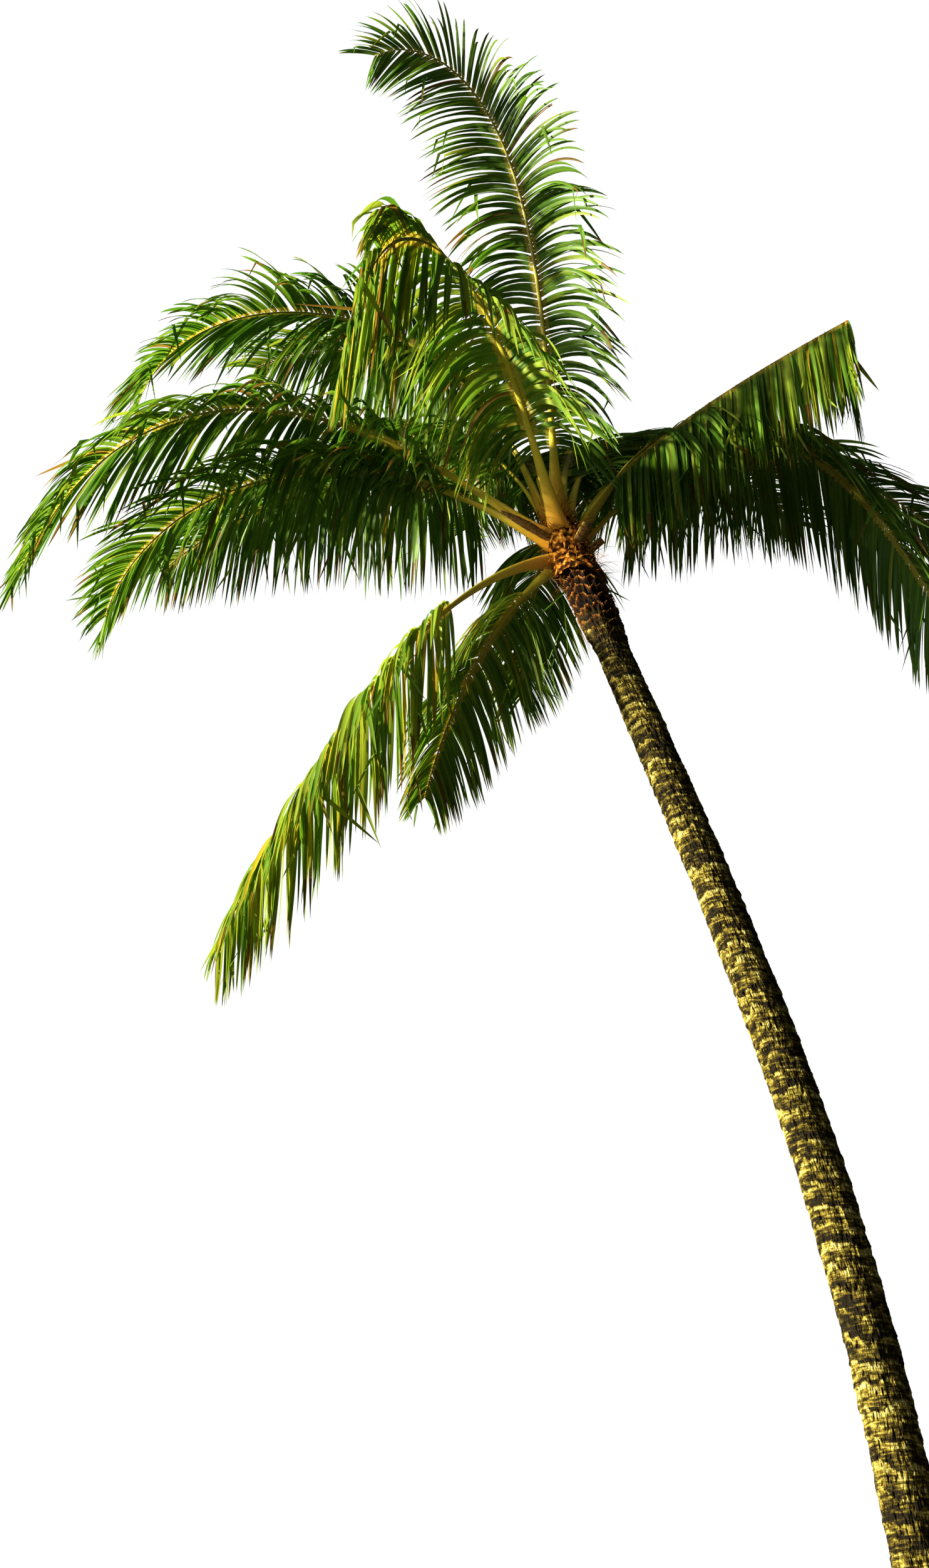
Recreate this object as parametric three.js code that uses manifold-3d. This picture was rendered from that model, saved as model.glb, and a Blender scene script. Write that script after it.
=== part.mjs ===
// A leaning coconut palm, cut flat at ground level, +Z up, in millimetres.
// The origin is the middle of the flat cut under the trunk. +X is the side away from the lean.
import * as THREE from 'three';
import { mergeVertices } from 'three/addons/utils/BufferGeometryUtils.js';
import Module from 'manifold-3d';

const wasm = await Module();
wasm.setup();

// ---- Driving sizes ----
const TRUNK_TOP = 9800;
const LEAN_SLOPE = 0.296;
const LEAN_START = 4400;
const LEAN_BLEND = 1100;
const TRUNK_RADIUS = 150;
const ROOT_FLARE = 115;
const FLARE_HEIGHT = 260;
const FLARE_RINGS = [0, 60, 130];
const RING_PITCH = 330;
const RING_SWELL = 3;
const HEART_HEIGHT = 760;
const HEART_RADIUS = 165;
const HEART_TILT = 15;
const HEART_LUMPS = 0.07;
const HEART_PROFILE = [
  [0, 0.74], [0.08, 0.95], [0.25, 1], [0.45, 0.92], [0.65, 0.72], [0.85, 0.42], [1, 0.16],
];
const CROWN_SHIFT = 60;
const CROWN_RISE = 200;
const PETIOLE_SHARE = 0.23;
const PETIOLE_WIDTH = 104;
const PETIOLE_DEPTH = 56;
const PETIOLE_THINNING = 12;
const PETIOLE_FLARE = 20;
const PETIOLE_FLARE_LENGTH = 220;
const PETIOLE_OFFSET = 100;
const RACHIS_WIDTH = 56;
const LEAFLET_LENGTH = 1518;
const KEPT_SHARE = 0.62;
const LEAFLET_SLANT = 70;
const SLANT_CLOSING = 30;
const LEAFLET_PULL = 2.6;
const STIFFENING = 1.45;
const TIP_HALF_WIDTH = 165;
const TIP_DROP = 60;
const TIP_SWING = 60;
const TIP_SWING_TURN = 2.2;
const TIP_NARROWING = 0.65;
const TIP_TILT = 0.35;
const BLADE_THICKNESS = 26;
const EDGE_THICKNESS = 14;
const GAP = 6;
const WELD_DISTANCE = 0.01;
const OPEN_GROWTH = 0.002;
const SMOOTHING = 3;
const WHOLE_ROWS = 7;
const INNER_ROWS = 5;
const OUTER_ROWS = 6;
const TIP_ROWS = 6;
const PETIOLE_RINGS = 7;

const TRUNK_SIDES = 12;
const LIMB_SIDES = 8;
const PATH_STEPS = 40;
const LEAFLET_STEPS = 4;

const UP = new THREE.Vector3(0, 0, 1);
const radians = THREE.MathUtils.degToRad;

// Fronds, from the top of the crown downwards. Angles are in degrees: heading is counted from +X towards +Y,
// rise is the slope at the base and droop is how far the slope has turned by the tip. late puts the bend nearer
// the tip, snap makes it more sudden, sweep turns the heading and roll tips the blade sideways on the way. lift
// raises the leaflets above the rib, slant is their angle to it, limp lets them hang, and leaf scales their
// length. bare is the share without leaflets, and seat is the height of the base on the crown heart.
const FRONDS = [
  { name: 'crest', seat: 300, heading: 263, rise: 76.5, droop: 98, late: 5.2, snap: 1.13, sweep: -98,
    roll: 60, length: 4800, lift: 10, limp: 0.85, leaf: 0.85, bare: 0.13, split: 0.55 },
  { name: 'front_arch', seat: 100, heading: 243, rise: 51, droop: 132, late: 1.05, snap: 2.7, sweep: -20,
    roll: -150, length: 4750, lift: 0, limp: 1.3, leaf: 1.15, bare: 0.17, split: 0.42 },
  { name: 'upper_left', seat: 200, heading: 189, rise: 77, droop: 161, late: 1.73, snap: 1.3, sweep: -7,
    roll: -35, length: 5400, lift: 24, limp: 0.6, leaf: 1, split: 0.45 },
  { name: 'middle_left', seat: 100, heading: 190, rise: 37, droop: 110, late: 1.57, snap: 1.7, sweep: -22,
    roll: -35, length: 5300, lift: 12, limp: 0.8, leaf: 1.05, split: 0.5 },
  { name: 'lower_left', seat: 20, heading: 178, rise: 46, droop: 129, late: 2.17, snap: 1.02, sweep: -29,
    roll: -25, length: 4650, lift: 22, limp: 0.7, leaf: 1, split: 0.5 },
  { name: 'hanging_left', seat: -80, heading: 176, rise: 6, droop: 76, late: 0.15, snap: 1, sweep: 0,
    roll: 0, length: 4300, lift: -15, limp: 0.9, leaf: 1 },
  { name: 'hanging_inner', seat: -50, heading: 118, rise: 26, droop: 85, late: 0.9, snap: 1, sweep: 0,
    roll: 0, length: 2800, lift: -15, limp: 0.9, leaf: 0.85 },
  { name: 'hanging_back', seat: -20, heading: 96, rise: 62, droop: 120, late: 1.8, snap: 1, sweep: 0,
    roll: 0, length: 3400, lift: -10, limp: 0.9, leaf: 0.9 },
  { name: 'broken_right', seat: 80, heading: 349, rise: 82, droop: 53, late: 0.186, snap: 1, sweep: 0,
    roll: 0, length: 3230, lift: -80, limp: 2.2, leaf: 1.1, slant: 138, broken: 950 },
  { name: 'long_right', seat: 120, heading: 6, rise: 66, droop: 138, late: 0.7, snap: 2.3, sweep: 4,
    roll: 0, length: 5400, lift: -8, limp: 0.95, leaf: 1.05, split: 0.4 },
  { name: 'young_left', seat: 420, heading: 160, rise: 80, droop: 90, late: 2, snap: 1, sweep: 0,
    roll: 0, length: 4400, lift: 5, limp: 0.8, leaf: 1 },
  { name: 'back_right_high', seat: 260, heading: 58, rise: 78, droop: 80, late: 1.6, snap: 1, sweep: 0,
    roll: 0, length: 4000, lift: 5, limp: 0.5, leaf: 0.9 },
  { name: 'back_left_high', seat: 200, heading: 140, rise: 76, droop: 100, late: 1.6, snap: 1, sweep: 0,
    roll: 0, length: 4800, lift: 5, limp: 0.8, leaf: 1 },
  { name: 'back_left_top', seat: 340, heading: 104, rise: 76, droop: 80, late: 1.6, snap: 1, sweep: 0,
    roll: 0, length: 4200, lift: 5, limp: 0.5, leaf: 0.9 },
  { name: 'back_top', seat: 300, heading: 74, rise: 80, droop: 82, late: 1.6, snap: 1, sweep: 0,
    roll: 0, length: 4000, lift: 5, limp: 0.5, leaf: 0.9 },
  { name: 'back_right', seat: 140, heading: 42, rise: 72, droop: 88, late: 1.6, snap: 1, sweep: 0,
    roll: 0, length: 4400, lift: 5, limp: 0.6, leaf: 0.95 },
  { name: 'back_left', seat: 60, heading: 154, rise: 57, droop: 92, late: 1.6, snap: 1, sweep: 0,
    roll: 0, length: 4600, lift: 0, limp: 0.7, leaf: 1 },
  { name: 'back_low_right', seat: 40, heading: 22, rise: 64, droop: 98, late: 1.6, snap: 1, sweep: 0,
    roll: 0, length: 4500, lift: 0, limp: 0.7, leaf: 1 },
];

// ---- Trunk and crown axis ----
// The trunk is upright at its foot and leans evenly from about LEAN_START upwards.
function trunkShift(z) {
  const leanAt = (height) => Math.log(1 + Math.exp((height - LEAN_START) / LEAN_BLEND));
  return -LEAN_SLOPE * LEAN_BLEND * (leanAt(z) - leanAt(0));
}

function trunkRadius(z) {
  const t = z / TRUNK_TOP;
  return TRUNK_RADIUS - 10 * t - 25 * t ** 6 + ROOT_FLARE * Math.exp(-z / FLARE_HEIGHT);
}

const CROWN_BASE = new THREE.Vector3(trunkShift(TRUNK_TOP) - CROWN_SHIFT, 0, TRUNK_TOP + CROWN_RISE);
const CROWN_AXIS = new THREE.Vector3(-Math.sin(radians(HEART_TILT)), 0, Math.cos(radians(HEART_TILT)));

// ---- Mesh helpers ----
// Joins equal rings of points into one closed skin with a fan over each end.
function closedTube(rings) {
  const sides = rings[0].length;
  const points = rings.flat();
  const index = [];
  for (let i = 0; i + 1 < rings.length; i += 1) {
    for (let j = 0; j < sides; j += 1) {
      const a = i * sides + j;
      const b = i * sides + ((j + 1) % sides);
      index.push(a, b, b + sides, a, b + sides, a + sides);
    }
  }
  const ends = [[rings[0], 0, true], [rings.at(-1), (rings.length - 1) * sides, false]];
  for (const [ring, start, first] of ends) {
    const middle = ring.reduce((sum, p) => sum.add(p), new THREE.Vector3()).divideScalar(sides);
    const centre = points.push(middle) - 1;
    for (let j = 0; j < sides; j += 1) {
      const a = start + j;
      const b = start + ((j + 1) % sides);
      index.push(centre, first ? b : a, first ? a : b);
    }
  }
  return solidFrom(points, index);
}

// Gives a grid of points a thickness and closes it all round.
function closedSheet(rows, thickness) {
  const count = rows.length;
  const width = rows[0].length;
  const at = (i, j) => rows[Math.min(Math.max(i, 0), count - 1)][Math.min(Math.max(j, 0), width - 1)];
  const points = [];
  for (const side of [1, -1]) {
    for (let i = 0; i < count; i += 1) {
      for (let j = 0; j < width; j += 1) {
        const along = at(i + 1, j).clone().sub(at(i - 1, j));
        const across = at(i, j + 1).clone().sub(at(i, j - 1));
        const normal = along.cross(across).normalize();
        points.push(at(i, j).clone().addScaledVector(normal, side * thickness(j) / 2));
      }
    }
  }
  const index = [];
  const quad = (a, b, c, d) => index.push(a, b, c, a, c, d);
  const under = count * width;
  for (let i = 0; i + 1 < count; i += 1) {
    for (let j = 0; j + 1 < width; j += 1) {
      const a = i * width + j;
      quad(a, a + width, a + width + 1, a + 1);
      quad(under + a, under + a + 1, under + a + width + 1, under + a + width);
    }
    const left = i * width;
    const right = left + width - 1;
    quad(left, under + left, under + left + width, left + width);
    quad(right, right + width, under + right + width, under + right);
  }
  for (let j = 0; j + 1 < width; j += 1) {
    const last = (count - 1) * width + j;
    quad(j, j + 1, under + j + 1, under + j);
    quad(last, under + last, under + last + 1, last + 1);
  }
  return solidFrom(points, index);
}

function solidFrom(points, index) {
  const geometry = new THREE.BufferGeometry();
  geometry.setAttribute('position', new THREE.Float32BufferAttribute(points.flatMap((p) => p.toArray()), 3));
  geometry.setIndex(index);
  const merged = mergeVertices(geometry, WELD_DISTANCE);
  const mesh = new wasm.Mesh({
    numProp: 3,
    vertProperties: new Float32Array(merged.attributes.position.array),
    triVerts: new Uint32Array(merged.index.array),
  });
  return new wasm.Manifold(mesh);
}

function geometryFrom(solid) {
  const mesh = solid.getMesh();
  const geometry = new THREE.BufferGeometry();
  geometry.setAttribute('position', new THREE.BufferAttribute(new Float32Array(mesh.vertProperties), 3));
  geometry.setIndex(new THREE.BufferAttribute(new Uint32Array(mesh.triVerts), 1));
  geometry.computeVertexNormals();
  return geometry;
}

// An eight-sided limb along stations of {at, along, right, up, halfWidth, halfDepth}.
function limb(stations, extra) {
  const rings = stations.map(({ at, along, right, up, halfWidth, halfDepth }, i) => {
    const ring = [];
    const push = i === 0 ? -extra : extra * Number(i === stations.length - 1);
    for (let k = 0; k < LIMB_SIDES; k += 1) {
      const angle = (2 * Math.PI * k) / LIMB_SIDES;
      ring.push(at.clone()
        .addScaledVector(along, push)
        .addScaledVector(right, (halfWidth + extra) * Math.cos(angle))
        .addScaledVector(up, (halfDepth + extra) * Math.sin(angle)));
    }
    return ring;
  });
  return closedTube(rings);
}

// ---- Frond geometry ----
function share(u, frond) {
  const a = u ** frond.snap;
  const b = (frond.late * (1 - u)) ** frond.snap;
  return a / (a + b);
}

function frameAt(u, frond) {
  const turned = share(u, frond);
  const slope = radians(frond.rise - frond.droop * turned);
  const heading = radians(frond.heading + frond.sweep * turned);
  const level = new THREE.Vector3(Math.cos(heading), Math.sin(heading), 0);
  const along = level.multiplyScalar(Math.cos(slope)).addScaledVector(UP, Math.sin(slope));
  const right = new THREE.Vector3(-Math.sin(heading), Math.cos(heading), 0);
  right.applyAxisAngle(along, radians(frond.roll * turned));
  return { along, right, up: along.clone().cross(right) };
}

function frondPath(frond) {
  const heading = radians(frond.heading);
  const at = CROWN_BASE.clone()
    .addScaledVector(CROWN_AXIS, frond.seat)
    .add(new THREE.Vector3(Math.cos(heading), Math.sin(heading), 0).multiplyScalar(PETIOLE_OFFSET));
  const path = [{ at: at.clone(), ...frameAt(0, frond) }];
  for (let i = 0; i < PATH_STEPS; i += 1) {
    at.addScaledVector(frameAt((i + 0.5) / PATH_STEPS, frond).along, frond.length / PATH_STEPS);
    path.push({ at: at.clone(), ...frameAt((i + 1) / PATH_STEPS, frond) });
  }
  return path;
}

function pathPoint(path, u) {
  const whole = Math.min(Math.floor(u * PATH_STEPS), PATH_STEPS - 1);
  const part = u * PATH_STEPS - whole;
  const [low, high] = [path[whole], path[whole + 1]];
  const mix = (key) => low[key].clone().lerp(high[key], part);
  return {
    at: mix('at'),
    along: mix('along').normalize(),
    right: mix('right').normalize(),
    up: mix('up').normalize(),
  };
}

// The share of a frond's length that is bare stalk.
function bareShare(frond) {
  return frond.bare ?? PETIOLE_SHARE;
}

// The share of a whole blade that a share of this one stands at. A broken blade has lost its outer part.
function wholeShare(w, frond) {
  return frond.broken ? KEPT_SHARE * w : w;
}

// How long a leaflet is at a share w of a whole blade, from 0 at its inner end to 1 at the tip.
function leafletLength(w, frond) {
  return LEAFLET_LENGTH * frond.leaf * (w + 0.1) ** 0.28 * (1.04 - w) ** 0.45;
}

// Points down one leaflet, which leaves the rib at a slant and bends towards the ground.
function leafletLine(base, w, side, frond, reach) {
  const whole = wholeShare(w, frond);
  const slant = radians((frond.slant ?? LEAFLET_SLANT) - SLANT_CLOSING * whole);
  const lift = radians(frond.lift);
  const start = base.along.clone().multiplyScalar(Math.cos(slant))
    .addScaledVector(base.right, side * Math.sin(slant) * Math.cos(lift))
    .addScaledVector(base.up, Math.sin(slant) * Math.sin(lift));
  const step = (leafletLength(whole, frond) * reach) / LEAFLET_STEPS;
  const at = base.at.clone();
  const line = [at.clone()];
  for (let i = 0; i < LEAFLET_STEPS; i += 1) {
    const pull = LEAFLET_PULL * frond.limp * (STIFFENING - w) * ((i + 0.5) / LEAFLET_STEPS);
    at.addScaledVector(start.clone().addScaledVector(UP, -pull).normalize(), step);
    line.push(at.clone());
  }
  return line;
}

// The thin blade between two shares of the frond's leafy part, through the ends of its leaflets.
function blade(frond, path, from, to, rowCount, extra) {
  const rows = [];
  const margin = extra / frond.length;
  for (let i = 0; i < rowCount; i += 1) {
    const w = from - margin + ((to - from + 2 * margin) * i) / (rowCount - 1);
    const bare = bareShare(frond);
    const base = pathPoint(path, bare + (1 - bare) * w);
    const reach = 1 + extra * OPEN_GROWTH;
    const left = leafletLine(base, w, 1, frond, reach);
    const right = leafletLine(base, w, -1, frond, reach);
    rows.push([right[4], right[2], base.at, left[2], left[4]]);
  }
  const thickness = (j) => (j === 0 || j === 4 ? EDGE_THICKNESS : BLADE_THICKNESS) + 2 * extra;
  return closedSheet(rows, thickness);
}

function petiole(frond, path, extra) {
  const stations = [];
  const end = bareShare(frond) - (2 * GAP) / frond.length;
  for (let i = 0; i < PETIOLE_RINGS; i += 1) {
    const u = (end * i) / (PETIOLE_RINGS - 1);
    const base = pathPoint(path, u);
    const flare = Math.exp(-(u * frond.length) / PETIOLE_FLARE_LENGTH);
    const thin = i / (PETIOLE_RINGS - 1);
    stations.push({
      ...base,
      halfWidth: (PETIOLE_WIDTH - (PETIOLE_WIDTH - RACHIS_WIDTH) * thin) / 2 + PETIOLE_FLARE * flare,
      halfDepth: (PETIOLE_DEPTH - PETIOLE_THINNING * thin) / 2,
    });
  }
  return limb(stations, extra);
}

// The part past the break on the broken frond: it hangs straight down from the snapped rib.
function brokenTip(frond, path, extra) {
  const base = pathPoint(path, 1);
  const heading = radians(frond.heading);
  const rows = [];
  for (let i = 0; i < TIP_ROWS; i += 1) {
    const w = i / (TIP_ROWS - 1);
    const half = TIP_HALF_WIDTH * (1 - TIP_NARROWING * w) + extra;
    const at = base.at.clone()
      .addScaledVector(UP, -TIP_DROP - frond.broken * w);
    at.x -= TIP_SWING * Math.sin(TIP_SWING_TURN * w);
    const across = new THREE.Vector3(Math.cos(heading), Math.sin(heading), TIP_TILT).normalize();
    rows.push([-1, -0.5, 0, 0.5, 1].map((k) => at.clone().addScaledVector(across, half * k)
      .addScaledVector(UP, -TIP_HALF_WIDTH * Math.abs(k))));
  }
  return closedSheet(rows, () => EDGE_THICKNESS + 2 * extra);
}

// ---- Trunk, heart and small pieces ----
function trunk(extra) {
  const rings = [];
  const rows = Math.round(TRUNK_TOP / RING_PITCH);
  const heights = [...FLARE_RINGS];
  for (let i = 1; i <= rows; i += 1) {
    heights.push((TRUNK_TOP * i) / rows);
  }
  heights.forEach((z, i) => {
    const swell = i < FLARE_RINGS.length ? 0 : RING_SWELL * (i % 2);
    const ring = [];
    for (let k = 0; k < TRUNK_SIDES; k += 1) {
      const angle = (2 * Math.PI * k) / TRUNK_SIDES;
      const radius = trunkRadius(z) + swell + extra;
      ring.push(new THREE.Vector3(trunkShift(z) + radius * Math.cos(angle), radius * Math.sin(angle), z));
    }
    rings.push(ring);
  });
  return closedTube(rings);
}

function crownHeart(extra) {
  const rings = [];
  const foot = new THREE.Vector3(trunkShift(TRUNK_TOP), 0, TRUNK_TOP + GAP - extra);
  HEART_PROFILE.forEach(([t, girth]) => {
    const ring = [];
    const tilt = radians(HEART_TILT) * Math.min(t * 4, 1);
    for (let k = 0; k < TRUNK_SIDES; k += 1) {
      const angle = (2 * Math.PI * k) / TRUNK_SIDES;
      const ragged = 1 + HEART_LUMPS * Math.sin(3 * angle + 9 * t) * Math.min(t * 8, 1);
      const radius = HEART_RADIUS * girth * ragged + extra;
      const at = foot.clone().addScaledVector(CROWN_AXIS, (HEART_HEIGHT + 2 * extra) * t);
      const x = new THREE.Vector3(Math.cos(tilt), 0, Math.sin(tilt));
      ring.push(at.addScaledVector(x, radius * Math.cos(angle))
        .add(new THREE.Vector3(0, radius * Math.sin(angle), 0)));
    }
    rings.push(ring);
  });
  return closedTube(rings);
}

// A short stub or spathe that leaves the heart at a heading and slope and swells or narrows on the way.
function offshoot({ seat, heading, rise, length, girths, flat }, extra) {
  const frond = { heading, rise, droop: 14, late: 1, snap: 1, sweep: 0, roll: 0, seat, length };
  const path = frondPath(frond);
  const stations = girths.map((girth, i) => ({
    ...pathPoint(path, i / (girths.length - 1)),
    halfWidth: girth / 2,
    halfDepth: (girth * flat) / 2,
  }));
  return limb(stations, extra);
}

const OFFSHOOTS = [
  { name: 'dry_spathe', seat: 60, heading: 205, rise: 24, length: 520, flat: 0.6,
    girths: [50, 74, 84, 62, 14] },
  { name: 'cut_stub_front', seat: -40, heading: 290, rise: 20, length: 240, girths: [110, 96, 84], flat: 0.5 },
  { name: 'cut_stub_right', seat: -90, heading: 325, rise: 30, length: 190, girths: [96, 82, 72], flat: 0.5 },
];

// ---- Assembly ----
const BARK = new THREE.MeshStandardMaterial({ color: 0x9c8a55, roughness: 0.9, metalness: 0 });
const SHEATH = new THREE.MeshStandardMaterial({ color: 0x8a5a2c, roughness: 0.95, metalness: 0 });
const STALK = new THREE.MeshStandardMaterial({ color: 0xb5a03a, roughness: 0.6, metalness: 0 });
const LEAF = new THREE.MeshStandardMaterial({ color: 0x4c6b22, roughness: 0.55, metalness: 0 });
const WOODY = new THREE.MeshStandardMaterial({ color: 0xa0783f, roughness: 0.85, metalness: 0 });

const palm = new THREE.Group();
const placed = [];

function largest(solid) {
  const pieces = solid.decompose();
  return pieces.reduce((best, piece) => (piece.volume() > best.volume() ? piece : best));
}

// Adds a node, cut clear of the nodes placed before it. make(extra) gives the shape grown by extra.
function place(name, material, make) {
  let solid = make(0);
  for (const cutter of placed) {
    solid = solid.subtract(cutter);
  }
  const mesh = new THREE.Mesh(geometryFrom(largest(solid.simplify(SMOOTHING))), material);
  mesh.name = name;
  palm.add(mesh);
  placed.push(make(GAP));
}

place('trunk', BARK, trunk);
place('crown_heart', SHEATH, crownHeart);
for (const stub of OFFSHOOTS) {
  place(stub.name, WOODY, (extra) => offshoot(stub, extra));
}

const paths = new Map(FRONDS.map((frond) => [frond.name, frondPath(frond)]));
for (const frond of FRONDS) {
  place(`petiole_${frond.name}`, STALK, (extra) => petiole(frond, paths.get(frond.name), extra));
}
for (const frond of FRONDS) {
  const path = paths.get(frond.name);
  const seam = (3 * GAP) / frond.length;
  if (frond.split) {
    const outerStart = frond.split + seam;
    const inner = (extra) => blade(frond, path, 0, frond.split, INNER_ROWS, extra);
    const outer = (extra) => blade(frond, path, outerStart, 1, OUTER_ROWS, extra);
    place(`blade_${frond.name}_inner`, LEAF, inner);
    place(`blade_${frond.name}_outer`, LEAF, outer);
  } else {
    place(`blade_${frond.name}`, LEAF, (extra) => blade(frond, path, 0, 1, WHOLE_ROWS, extra));
  }
  if (frond.broken) {
    place(`blade_${frond.name}_tip`, LEAF, (extra) => brokenTip(frond, path, extra));
  }
}

export default palm;
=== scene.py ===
"""Coconut palm: a ringed leaning trunk, a fibrous crown heart and arching feather fronds, in metres."""

import math

import bpy
import numpy as np
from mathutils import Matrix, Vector, noise


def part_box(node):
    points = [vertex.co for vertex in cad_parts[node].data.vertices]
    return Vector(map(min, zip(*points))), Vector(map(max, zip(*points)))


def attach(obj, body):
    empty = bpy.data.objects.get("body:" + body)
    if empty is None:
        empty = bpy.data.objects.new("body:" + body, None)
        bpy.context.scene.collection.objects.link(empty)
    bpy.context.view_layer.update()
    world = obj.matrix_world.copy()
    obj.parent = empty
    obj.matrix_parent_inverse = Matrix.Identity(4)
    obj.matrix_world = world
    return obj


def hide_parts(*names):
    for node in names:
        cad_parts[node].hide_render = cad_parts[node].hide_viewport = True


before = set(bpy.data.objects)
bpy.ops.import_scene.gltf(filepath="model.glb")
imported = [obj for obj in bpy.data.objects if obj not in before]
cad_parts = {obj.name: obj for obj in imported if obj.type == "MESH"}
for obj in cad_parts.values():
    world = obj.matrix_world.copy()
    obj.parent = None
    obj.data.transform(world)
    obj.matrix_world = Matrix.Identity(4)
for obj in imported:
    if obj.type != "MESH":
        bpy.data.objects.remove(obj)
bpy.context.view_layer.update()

bl_info = {
    "name": "Coconut Palm",
    "version": (1, 0, 0),
    "blender": (4, 5, 0),
    "location": "View3D > Sidebar > Palm",
    "description": "Builds a leaning coconut palm around its solid frame",
    "category": "Add Mesh",
}

# ---- Sizes that the frame is built on ----
TRUNK_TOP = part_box("trunk")[1][2]
LEAN_SLOPE = 0.296
LEAN_START = 4.4
LEAN_BLEND = 1.1
TRUNK_RADIUS = 0.150
ROOT_FLARE = 0.115
FLARE_HEIGHT = 0.26
HEART_HEIGHT = 0.76
HEART_RADIUS = 0.165
HEART_TILT = math.radians(15)
HEART_PROFILE = ([0, 0.08, 0.25, 0.45, 0.65, 0.85, 1], [0.74, 0.95, 1, 0.92, 0.72, 0.42, 0.16])
CROWN_SHIFT = 0.06
CROWN_RISE = 0.2
PETIOLE_SHARE = 0.23
PETIOLE_OFFSET = 0.1
PETIOLE_WIDTH = 0.104
PETIOLE_DEPTH = 0.056
RACHIS_WIDTH = 0.056
FOOT_FLARE = 0.075
FOOT_FLARE_LENGTH = 0.19
KEPT_SHARE = 0.62
LEAFLET_SLANT = 70
SLANT_CLOSING = 30
LEAFLET_PULL = 2.6
STIFFENING = 1.45
PATH_STEPS = 40
UP = np.array([0.0, 0.0, 1.0])
SEED = 7

# ---- Sizes of the fine surface ----
TRUNK_SIDES = 96
TRUNK_CUTS = (30, 29)
COLLAR_FOOT = 9.0
COLLAR_FADE = 0.35
COLLAR_SWELL = 0.006
LEDGE_PITCH = 0.085
LEDGE_DEPTH = 0.046
# Painted shadow of the crown: the bark darkens from this height towards the collar.
CROWN_SHADOW_FOOT = 8.6
CROWN_SHADOW_FADE = 0.6
SHEET_ROWS = 14
SHEET_COLUMNS = 18
SHEETS = 9
STRANDS = 520
STRAND_STEPS = 5
LEAFLET_STEPS = 12
LEAFLET_FOLD = 0.3
TIP_LEAFLETS = 26
# Material numbers of a frond's leaflets; 0 to 3 run from deep green to ripe.
RIPEST = 3
DRY = 4
FOOT = 5
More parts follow.
